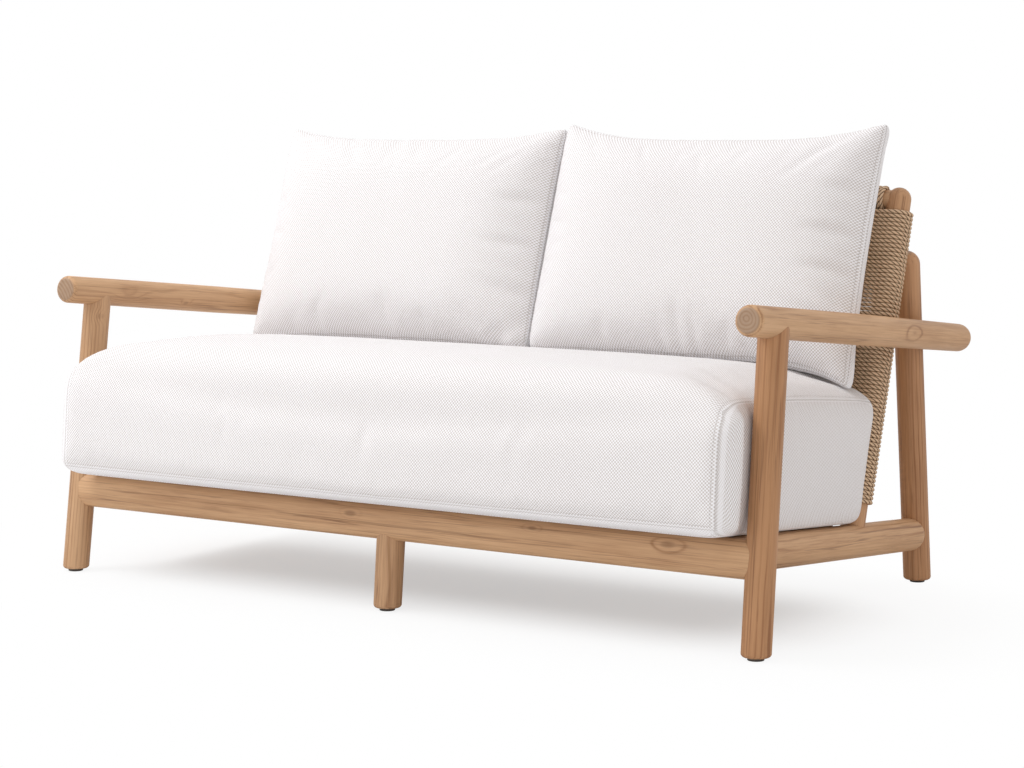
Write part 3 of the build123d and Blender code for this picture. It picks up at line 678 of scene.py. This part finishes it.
def lattice(counts):
    """A box of side 2 with its sides cut into even squares."""
    bm = bmesh.new()
    bmesh.ops.create_cube(bm, size=2.0)
    for axis, count in enumerate(counts):
        along = [e for e in bm.edges if abs(e.verts[0].co[axis] - e.verts[1].co[axis]) > 1e-5]
        bmesh.ops.subdivide_edges(bm, edges=along, cuts=count - 1, use_grid_fill=True)
    return bm


def box_places(bm):
    return np.array([v.co[:] for v in bm.verts])


def corner_arc(a, peak, b, count=9):
    """Points of a round corner from a to b, under a sharp corner at peak."""
    t = np.linspace(0, 1, count)[:, None]
    return (1 - t) ** 2 * a + 2 * t * (1 - t) * peak + t ** 2 * b


# Share of the seat's crown at shares of the way from its middle to its end seams
SEAT_SWELL = (
    (0.0, 1.0), (0.44, 0.99), (0.645, 0.96), (0.78, 0.9),
    (0.868, 0.79), (0.922, 0.62), (0.95, 0.43), (0.972, 0.12),
)
SEAT_END = SEAT_SWELL[-1][0]
SEAT_SOFT = 0.070   # reach of the rounding along the front's top edge
SEAT_EDGE = 0.030   # and of the others
SEAT_LOWER = 0.002  # how much higher the foot lies at the end seams
SEAT_ROUND = 1.56   # about the length round the seat's cut
# The rear face along the deck, at its foot and at a height above it.
# It stands 12 to 6 mm past the rope's front, a fault.
SEAT_REAR_FOOT, SEAT_REAR_HEAD, SEAT_REAR_RISE = 0.4796, 0.5204, 0.219
SEAT_REAR_TUCK = 0.002


def smooth_step(values, low, high):
    t = np.clip((values - low) / (high - low), 0, 1)
    return t * t * (3 - 2 * t)


def share_curve(table, at):
    places, values = np.array(table).T
    return np.interp(at, places, values)


def seat_rear(up):
    """The rear face along the deck, leaning roughly as the rope back does."""
    return SEAT_REAR_FOOT + (SEAT_REAR_HEAD - SEAT_REAR_FOOT) * up / SEAT_REAR_RISE - SEAT_REAR_TUCK


def seat_profile(seat, swell):
    """The cushion's cut at one place across, in the deck's frame: its front, top, rear and bottom."""
    low = 0.0005 + SEAT_LOWER * (1 - swell)
    high = seat.thick
    front = -seat.front - 0.008 * (1 - swell)
    crown = seat.crown * swell
    front_top = high + crown * 0.62
    rear_top = high + crown * 0.75
    soft, edge = SEAT_SOFT, SEAT_EDGE

    def p(along, up):
        return np.array([along, up])

    lower_front = corner_arc(p(front + edge, low), p(front, low), p(front, low + edge))
    upper_front = corner_arc(p(front, front_top - soft), p(front, front_top), p(front + soft, front_top))
    rear = seat_rear(rear_top)
    upper_rear = corner_arc(
        p(rear - edge, rear_top), p(rear, rear_top), p(seat_rear(rear_top - edge), rear_top - edge)
    )
    lower_rear = corner_arc(
        p(seat_rear(low + edge), low + edge), p(seat_rear(low), low), p(seat_rear(low) - edge, low)
    )
    share = np.linspace(0, 1, 40)[:, None]
    rise = 4 * share * (1 - share) * (high + crown - (front_top + rear_top) / 2)
    top = upper_front[-1] + (upper_rear[0] - upper_front[-1]) * share + rise * np.array([0.0, 1.0])
    half = len(lower_front) // 2
    return [
        np.concatenate([lower_front[half:], upper_front[: half + 1]]),
        np.concatenate([upper_front[half:], top[1:-1], upper_rear[: half + 1]]),
        np.concatenate([upper_rear[half:], lower_rear[: half + 1]]),
        np.concatenate([lower_rear[half:], lower_front[: half + 1]]),
    ]


def walk(points, share):
    """The points at shares of a polyline's length, and the length so far."""
    steps = np.linalg.norm(np.diff(points, axis=0), axis=1)
    far = np.concatenate([[0.0], np.cumsum(steps)])
    at = share * far[-1]
    return np.column_stack([np.interp(at, far, points[:, i]) for i in range(2)]), at, far[-1]


def seat_places(seat, places):
    """Maps the box onto the seat cushion, in the deck's frame: points, metres round the cut, ways to seams."""
    points = np.zeros_like(places)
    around = np.zeros(len(places))
    reach = np.maximum(np.abs(places[:, 1]), np.abs(places[:, 2]))
    safe = np.where(reach < 1e-6, 1.0, reach)
    b, c = places[:, 1] / safe, places[:, 2] / safe
    side = np.where(b <= -0.99999, 0, np.where(c >= 0.99999, 1, np.where(b >= 0.99999, 2, 3)))
    ways = [(c + 1) / 2, (b + 1) / 2, (1 - c) / 2]
    share = np.select([side == 0, side == 1, side == 2], ways, (1 - b) / 2)
    low_seam = np.ones(len(places))
    for column in np.unique(np.round(places[:, 0], 6)):
        swell = float(share_curve(SEAT_SWELL, abs(column) * SEAT_END))
        runs = seat_profile(seat, swell)
        start = 0.0
        picked_column = np.abs(places[:, 0] - column) < 1e-5
        middle = np.mean([r.mean(0) for r in runs], axis=0)
        for number, run in enumerate(runs):
            picked = picked_column & (side == number)
            spots, at, whole = walk(run, share[picked])
            points[picked, 1:] = middle + (spots - middle) * reach[picked][:, None]
            around[picked] = start + at
            start += whole
        low_seam[picked_column] = around[picked_column] - seat.low_seam
    inside = reach < 0.9999
    points[:, 0] = places[:, 0] * seat.seam
    ahead = 1 - smooth_step(points[:, 1], -0.044, -0.018)
    rim = ((reach - 0.9) / 0.1).clip(0, 1)
    puff_out = (seat.bulge + (seat.corner - seat.bulge) * ahead) * np.sqrt(np.clip(1 - rim ** 2, 0, 1))
    points[inside, 0] = np.sign(places[inside, 0]) * (seat.seam + puff_out[inside])
    end_seam = np.where(inside, -(1 - reach) * 0.125, seat.seam - np.abs(points[:, 0]))
    low_seam[inside] = 1.0
    return points, around, end_seam, low_seam, inside


def pillow_outline(back, side, a, b):
    """A back cushion's face without thickness: x and height, with bowed sides and raised corners."""
    share = (a * side + 1) / 2
    x = 0.001 + (back.half - 0.001) * share
    edge = np.abs(a) ** 4
    top = back.top + (back.corner - back.top - 0.004 * (1 - side)) * edge
    bottom = back.bottom - 0.043 * share ** 12
    height = (b + 1) / 2
    outer = np.clip(a * side, 0, 1)
    x = x - 0.007 * (1 - b ** 2) * outer ** 6
    return side * x, bottom + (top - bottom) * height


FOLD_DEPTH = 0.0034
# Folds of each back cushion: place across and up, lean, length, width and depth
FOLDS = {
    -1: (
        (-0.62, -0.95, 0.1, 0.10, 0.040, -1.2), (-0.42, -0.96, 0.0, 0.09, 0.030, -1.0),
        (0.10, -0.96, -0.1, 0.08, 0.030, -1.0), (0.84, -0.90, 0.5, 0.12, 0.050, -2.0),
        (-0.10, 0.92, -0.6, 0.20, 0.040, -1.4), (-0.40, 0.85, -0.5, 0.25, 0.050, -0.9),
        (0.84, 0.30, -1.3, 0.12, 0.050, -0.8), (0.86, -0.10, -1.4, 0.12, 0.050, -0.8),
        (0.85, -0.50, -1.2, 0.14, 0.060, -1.0),
    ),
    1: (
        (-0.47, -0.96, 0.1, 0.08, 0.030, -1.2), (-0.08, -0.96, -0.1, 0.12, 0.026, -2.0),
        (0.02, -0.97, 0.1, 0.10, 0.022, -1.8), (0.12, -0.95, 0.0, 0.14, 0.026, -1.8),
        (0.30, -0.95, 0.1, 0.08, 0.030, -1.4), (0.84, 0.45, -1.2, 0.14, 0.050, -0.9),
        (0.85, 0.10, -1.4, 0.14, 0.050, -1.0), (0.84, -0.20, -1.5, 0.14, 0.050, -0.9),
        (0.84, -0.60, -1.1, 0.20, 0.060, -1.8), (0.62, -0.80, -0.6, 0.22, 0.060, -1.4),
    ),
}


def folds(side, a, b):
    """Soft creases of a back cushion's face: each has a place, a lean, a length, a width and a depth."""
    total = np.zeros_like(a)
    for x, up, lean, reach, width, depth in FOLDS[side]:
        along = (a - x) * np.sin(lean) + (b - up) * np.cos(lean)
        aside = (a - x) * np.cos(lean) - (b - up) * np.sin(lean)
        total += depth * np.exp(-((along / reach) ** 2) - (aside / width) ** 2)
        beside = (aside - 1.7 * width) / width
        total -= 0.5 * depth * np.exp(-((along / reach) ** 2) - beside ** 2)
    return total


def back_places(back, side, places):
    """Maps the box onto a back cushion, in the back's frame, with distances to its seams."""
    a, b, c = places.T
    x, up = pillow_outline(back, side, a * (1 - 0.022 * np.abs(b) ** 22), b * (1 - 0.02 * np.abs(a) ** 26))
    inner = np.clip(-a * side, 0, 1)
    band = 0.102 - 0.016 * (b + 1) / 2 + side * 0.005 * inner ** 3
    swell = (1 - np.abs(a) ** 4) ** 0.68 * (1 - np.abs(b) ** 4.6) ** 0.6
    half = back.band / 2
    front = band + half + 0.002 * (1 - b ** 2) + (back.front - band - half) * swell
    front = front + FOLD_DEPTH * folds(side, a, b)
    rear = band - half - (band - half - ROPE_FRONT - 0.0012) * swell ** 0.8
    face = np.abs(c) > 0.9999
    out = np.where(face, np.where(c > 0, front, rear), band + c * half)
    inward = np.minimum((1 - np.abs(a)) * back.half / 2, (1 - np.abs(b)) * (back.top - back.bottom) / 2)
    front_seam = np.where(face & (c > 0), inward, -(1 - c) * half)
    rear_seam = np.where(face & (c < 0), inward, -(1 + c) * half)
    return np.column_stack([x, up, out]), front_seam, rear_seam


def puff(made, loose, pressure, frames, most):
    """Lets cloth physics settle the cover: it swells under pressure, and no point moves further than most."""
    mesh = made.data
    before = np.empty(len(mesh.vertices) * 3)
    mesh.vertices.foreach_get("co", before)
    cloth = made.modifiers.new("cover", "CLOTH")
    cloth.point_cache.frame_end = frames
    wear = cloth.settings
    wear.quality = 6
    wear.mass = 0.25
    wear.tension_stiffness = 12
    wear.compression_stiffness = 12
    wear.shear_stiffness = 4
    wear.bending_stiffness = 0.12
    wear.use_pressure = True
    wear.uniform_pressure_force = pressure
    wear.shrink_min = -loose
    wear.effector_weights.gravity = 0.0
    wear.vertex_group_mass = "held"
    wear.pin_stiffness = 1.0
    scene = bpy.context.scene
    for number in range(1, frames + 1):
        scene.frame_set(number)
    settled = made.evaluated_get(bpy.context.evaluated_depsgraph_get())
    after = np.empty(len(mesh.vertices) * 3)
    settled.data.vertices.foreach_get("co", after)
    made.modifiers.remove(cloth)
    scene.frame_set(1)
    move = (after - before).reshape(-1, 3)
    size = np.linalg.norm(move, axis=1, keepdims=True)
    limit = most * np.tanh(size / most) / np.maximum(size, 1e-9)
    mesh.vertices.foreach_set("co", (before.reshape(-1, 3) + move * limit).ravel())


def press_seams(made, distances, depth, width):
    """Draws the cover in along its seams."""
    mesh = made.data
    points = np.empty(len(mesh.vertices) * 3)
    mesh.vertices.foreach_get("co", points)
    normals = np.empty(len(mesh.vertices) * 3)
    mesh.vertices.foreach_get("normal", normals)
    near = np.exp(-((np.min(np.abs(distances), axis=0) / width) ** 2))
    points = points.reshape(-1, 3) - normals.reshape(-1, 3) * (near * depth)[:, None]
    mesh.vertices.foreach_set("co", points.ravel())
    mesh.update()


def store_seams(mesh, front, rear, plain):
    """Keeps each point's distances to two seams, and where the cover is plain, for the cover's material."""
    layer = mesh.attributes.new("seams", "FLOAT_VECTOR", "POINT")
    layer.data.foreach_set("vector", np.column_stack([front, rear, plain]).astype(np.float32).ravel())


def store_map(mesh, choose):
    """A UV map in metres; choose gives each face's map of its corners."""
    layer = mesh.uv_layers.new(name="weave")
    flat = np.zeros((len(mesh.loops), 2), np.float32)
    corners = np.empty(len(mesh.loops), np.int32)
    mesh.loops.foreach_get("vertex_index", corners)
    for face in mesh.polygons:
        span = slice(face.loop_start, face.loop_start + face.loop_total)
        flat[span] = choose(face, corners[span])
    layer.data.foreach_set("uv", flat.ravel())


def finish_cushion(made, body, material):
    """One level of subdivision, smooth shading, and what the frame needs to know."""
    smooth = made.modifiers.new("smooth", "SUBSURF")
    smooth.levels = 1
    smooth.render_levels = 1
    made.data.polygons.foreach_set("use_smooth", [True] * len(made.data.polygons))
    made.data.materials.append(material)
    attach(made, body)
    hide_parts(body)


def hold(made, chosen):
    """Points that the cloth physics leaves where they are."""
    group = made.vertex_groups.new(name="held")
    group.add([int(i) for i in np.flatnonzero(chosen)], 1.0, "REPLACE")


def cover_material(cloth):
    """A basket weave of pale yarn over greyer yarn, with seams and rows of stitches; the yarn between the
    raised cells is darkened and warmed partly as painted shade in the weave's hollows, and the raised yarn
    cooled partly as painted light.
    """
    material, shader, start = new_material("woven_cover")
    across, up, _ = start.node("ShaderNodeUVMap", {"uv_map": "weave"}).parts()
    place = object_place(start)
    warp = place.noise(160.0, 2.0) - 0.5
    u = across / cloth.cell + warp * 0.35
    v = up / cloth.cell + warp * 0.35
    cells = (u * pi).maths("COSINE") * (v * pi).maths("COSINE")
    raised = cells.smooth(-0.42, 0.38)
    yarn = ((u + v) * (pi * 2)).maths("SINE") * 0.5 + 0.5
    slub = place.noise(420.0, 3.0, 0.6)
    patch = place.noise(7.0, 2.0)
    tone = raised * 0.86 + yarn * 0.05 + slub * 0.22 - 0.06 + (patch - 0.5) * 0.12
    # Raised cells take the pale yarn, partly painted light; the hollows between take the darker yarn, partly
    # painted shade
    base = tone.smooth(0.0, 1.0).mix(cloth.dark, cloth.light)
    seams = start.node("ShaderNodeAttribute", {"attribute_name": "seams"}, None, 1)
    one, two, plain = seams.parts()
    nearest = abs(one).maths("MINIMUM", abs(two))
    line = 1.0 - nearest.smooth(0.0003, 0.0014)
    # Painted highlight: a pale line on the ridge of cloth 2.4 mm beside each seam
    seam_ridge_highlight = 1.0 - abs(nearest - 0.0024).smooth(0.0006, 0.0016)
    row = 1.0 - abs(nearest - 0.0065).smooth(0.0004, 0.001)
    dash = ((across + up) * (2 * pi / 0.0055)).maths("SINE").smooth(-0.5, 0.1)
    stitch = row * dash * one.maths("GREATER_THAN", 0.0) * (1.0 - plain)
    # The painted seam-ridge highlight and the plain bands both lighten towards the raised yarn's colour
    base = (seam_ridge_highlight * 0.5).maths("MAXIMUM", plain * 0.6).mix(base, cloth.light)
    base = (line * (0.38 - plain * 0.25)).mix(base, cloth.thread)
    base = (stitch * 0.6).mix(base, cloth.thread)
    height = raised * 0.7 + yarn * 0.12 + slub * 0.3 - line * 1.2 - row * 0.4
    feed(shader, Base_Color=base, Roughness=0.92, Normal=height.bump(0.0005, 0.8))
    shader.inputs["Specular IOR Level"].default_value = 0.15
    shader.inputs["Sheen Weight"].default_value = 0.25
    shader.inputs["Sheen Roughness"].default_value = 0.5
    return material


def shared_cover(context):
    return bpy.data.materials.get("woven_cover") or cover_material(settings(context, "cloth"))


class LOVESEAT_OT_seat_cushion(Operator):
    """Makes the bench cushion"""

    bl_idname = "loveseat.seat_cushion"
    bl_label = "Seat cushion"

    def execute(self, context):
        seat = settings(context, "seat")
        bm = lattice(SEAT_COUNTS)
        places = box_places(bm)
        points, around, end_seam, low_seam, inside = seat_places(seat, places)
        world = DECK.point(points)
        for vert, spot in zip(bm.verts, world):
            vert.co = spot
        mesh = bpy.data.meshes.new("seat_cushion_cover")
        bmesh.ops.recalc_face_normals(bm, faces=bm.faces)
        bm.to_mesh(mesh)
        bm.free()

        depth = np.maximum(np.abs(points[:, 0]) - seat.seam, 0.0)[:, None]
        end_map = points[:, 1:] - places[:, 1:] * depth

        def choose(face, corners):
            upright = np.ptp(np.abs(places[corners, 0])) < 1e-6 and abs(face.normal.x) > 0.7
            if inside[corners].any() or upright:
                return end_map[corners]
            length_round = around[corners].copy()
            if np.ptp(length_round) > 0.5:
                length_round[length_round < 0.5] += SEAT_ROUND
            return np.column_stack([points[corners, 0], length_round])

        store_map(mesh, choose)
        store_seams(mesh, end_seam, low_seam, (low_seam < 0) & ~inside)
        made = add_piece("seat_cushion_cover", mesh)
        hold(made, (points[:, 2] < HELD_FOOT) | (np.abs(end_seam) < 1e-4))
        puff(made, *SEAT_PUFF)
        press_seams(made, [end_seam, low_seam], *SEAT_SEAMS)
        finish_cushion(made, "seat_cushion", shared_cover(context))
        return {"FINISHED"}


class LOVESEAT_OT_back_cushions(Operator):
    """Makes the loose back cushions"""

    bl_idname = "loveseat.back_cushions"
    bl_label = "Back cushions"

    def execute(self, context):
        back = settings(context, "back")
        for side, name in SIDES:
            bm = lattice(BACK_COUNTS)
            places = box_places(bm)
            points, front_seam, rear_seam = back_places(back, side, places)
            world = BACK.point(points)
            for vert, spot in zip(bm.verts, world):
                vert.co = spot
            mesh = bpy.data.meshes.new(f"back_cushion_{name}_cover")
            bmesh.ops.recalc_face_normals(bm, faces=bm.faces)
            bm.to_mesh(mesh)
            bm.free()

            def choose(face, corners):
                spots = points[corners]
                if abs(np.mean(places[corners, 2])) > 0.9999:
                    return spots[:, :2]
                sideways = np.ptp(places[corners, 0]) < 1e-6
                return np.column_stack([spots[:, 1] if sideways else spots[:, 0], spots[:, 2]])

            store_map(mesh, choose)
            store_seams(mesh, front_seam, rear_seam, front_seam < 0)
            made = add_piece(f"back_cushion_{name}_cover", mesh)
            hold(made, (np.abs(places[:, 1] + 1) < 1e-4) | (np.abs(front_seam) < 1e-4))
            puff(made, *BACK_PUFF)
            press_seams(made, [front_seam, rear_seam], *BACK_SEAMS)
            finish_cushion(made, f"back_cushion_{name}", shared_cover(context))
        return {"FINISHED"}


# Studio
KEY_LAMP = {
    "size": 1.7, "place": (-2.2, -1.25, 3.75), "target": (0.0, 0.25, 0.35), "shade": (0.935, 0.965, 1.0),
}
FILL_LAMP = {
    "size": 2.4, "place": (-1.2, -4.6, 1.1), "target": (0.0, 0.1, 0.45), "shade": (1.0, 0.98, 0.96),
}
CAMERA_PLACE = (2.480, -3.4085, 0.8379)
CAMERA_DIP = 5.86    # degrees that the camera looks down
CAMERA_TURN = 33.01  # degrees that it is turned from looking along y


class LOVESEAT_OT_studio(Operator):
    """Sets the floor, the soft light and the camera"""

    bl_idname = "loveseat.studio"
    bl_label = "Studio"

    def execute(self, context):
        studio = settings(context, "studio")
        context.scene.view_settings.view_transform = "Standard"
        floor = add_floor()
        add_lamp("key_light", studio.key, **KEY_LAMP)
        add_lamp("fill_light", studio.fill, **FILL_LAMP)
        add_sky(context, studio.sky)
        add_camera(context, studio.lens)
        return {"FINISHED"}


def add_floor():
    bm = bmesh.new()
    bmesh.ops.create_grid(bm, x_segments=1, y_segments=1, size=30.0)
    mesh = bpy.data.meshes.new("floor")
    bm.to_mesh(mesh)
    bm.free()
    material, shader, start = new_material("white_floor")
    place = object_place(start)
    speck = place.noise(3.0, 2.0)
    feed(shader, Base_Color=speck.mix((0.84, 0.84, 0.84), (0.86, 0.86, 0.86)), Roughness=0.9)
    shader.inputs["Specular IOR Level"].default_value = 0.1
    # Seen by the camera the floor glows white: weakest near the sofa's footprint, where its rendered shadow
    # shows through, and full further out, where the glow paints the floor's light and shadow out
    x, y, _ = place.parts()
    aside = (abs(x) - 0.5).maths("MAXIMUM", 0.0) * 0.8
    behind = (abs(y - 0.29) - 0.05).maths("MAXIMUM", 0.0)
    distance = (aside * aside + behind * behind) ** 0.5
    share = distance.smooth(0.02, 0.3) * 0.4 + distance.smooth(0.2, 0.6) * 0.12 + 0.48
    seen = start.node("ShaderNodeLightPath")
    glow = start.node("ShaderNodeEmission", None, {0: (1, 1, 1, 1), 1: 1.0})
    mixed = start.node("ShaderNodeMixShader", None, {0: seen * share, 1: start, 2: glow})
    output = material.node_tree.nodes["Material Output"]
    material.node_tree.links.new(mixed.socket, output.inputs[0])
    mesh.materials.append(material)
    return add_piece("floor", mesh)


def add_lamp(name, power, size, place, target, shade):
    lamp = bpy.data.lights.new(name, "AREA")
    lamp.shape = "SQUARE"
    lamp.size = size
    lamp.energy = power
    lamp.color = shade
    holder = bpy.data.objects.new(name, lamp)
    holder.location = place
    holder.rotation_euler = (Vector(target) - Vector(place)).to_track_quat("-Z", "Y").to_euler()
    bpy.context.scene.collection.objects.link(holder)
    return holder


def add_sky(context, strength):
    world = bpy.data.worlds.new("studio")
    world.use_nodes = True
    nodes = world.node_tree.nodes
    background = nodes["Background"]
    start = Sock(world.node_tree, background.outputs[0])
    path = start.node("ShaderNodeLightPath")
    outputs = path.socket.node.outputs
    seen = Sock(start.tree, outputs["Is Camera Ray"])
    for ray in ("Is Glossy Ray", "Is Transmission Ray"):
        seen = seen.maths("MAXIMUM", Sock(start.tree, outputs[ray]))
    level = seen * (1.0 - strength) + strength
    shade = seen.mix((1.0, 0.975, 0.965), (1.0, 1.0, 1.0))
    start.tree.links.new(shade.socket, background.inputs[0])
    start.tree.links.new(level.socket, background.inputs[1])
    context.scene.world = world


def add_camera(context, lens):
    camera = bpy.data.cameras.new("camera")
    camera.lens = lens
    camera.sensor_width = 36.0
    camera.clip_end = 100.0
    holder = bpy.data.objects.new("camera", camera)
    holder.location = CAMERA_PLACE
    holder.rotation_euler = (radians(90.0 - CAMERA_DIP), 0.0, radians(CAMERA_TURN))
    context.scene.collection.objects.link(holder)
    context.scene.camera = holder


class LOVESEAT_PT_panel(Panel):
    """Lists the loveseat's pieces and their settings"""

    bl_label = "Loveseat"
    bl_idname = "LOVESEAT_PT_panel"
    bl_space_type = "VIEW_3D"
    bl_region_type = "UI"
    bl_category = "Loveseat"

    def draw(self, context):
        for operator in OPERATORS:
            self.layout.operator(operator.bl_idname)
        for name, group in GROUPS.items():
            box = self.layout.box()
            box.label(text=name.capitalize())
            for field in group.__annotations__:
                box.prop(settings(context, name), field)


GROUPS = {
    "teak": TeakSettings, "rope": RopeSettings, "seat": SeatSettings,
    "back": BackSettings, "cloth": ClothSettings, "studio": StudioSettings,
}
OPERATORS = (
    LOVESEAT_OT_teak, LOVESEAT_OT_fittings, LOVESEAT_OT_back_rope, LOVESEAT_OT_top_rope,
    LOVESEAT_OT_seat_cushion, LOVESEAT_OT_back_cushions, LOVESEAT_OT_studio,
)


def register():
    for made in (*GROUPS.values(), *OPERATORS, LOVESEAT_PT_panel):
        bpy.utils.register_class(made)
    for name, group in GROUPS.items():
        setattr(bpy.types.Scene, f"loveseat_{name}", PointerProperty(type=group))


def unregister():
    for name in GROUPS:
        delattr(bpy.types.Scene, f"loveseat_{name}")
    for made in (LOVESEAT_PT_panel, *OPERATORS, *GROUPS.values()):
        bpy.utils.unregister_class(made)


def main():
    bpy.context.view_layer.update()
    register()
    bpy.ops.loveseat.teak()
    bpy.ops.loveseat.fittings()
    bpy.ops.loveseat.back_rope()
    bpy.ops.loveseat.top_rope()
    bpy.ops.loveseat.seat_cushion()
    bpy.ops.loveseat.back_cushions()
    bpy.ops.loveseat.studio()


if __name__ == "__main__":
    main()
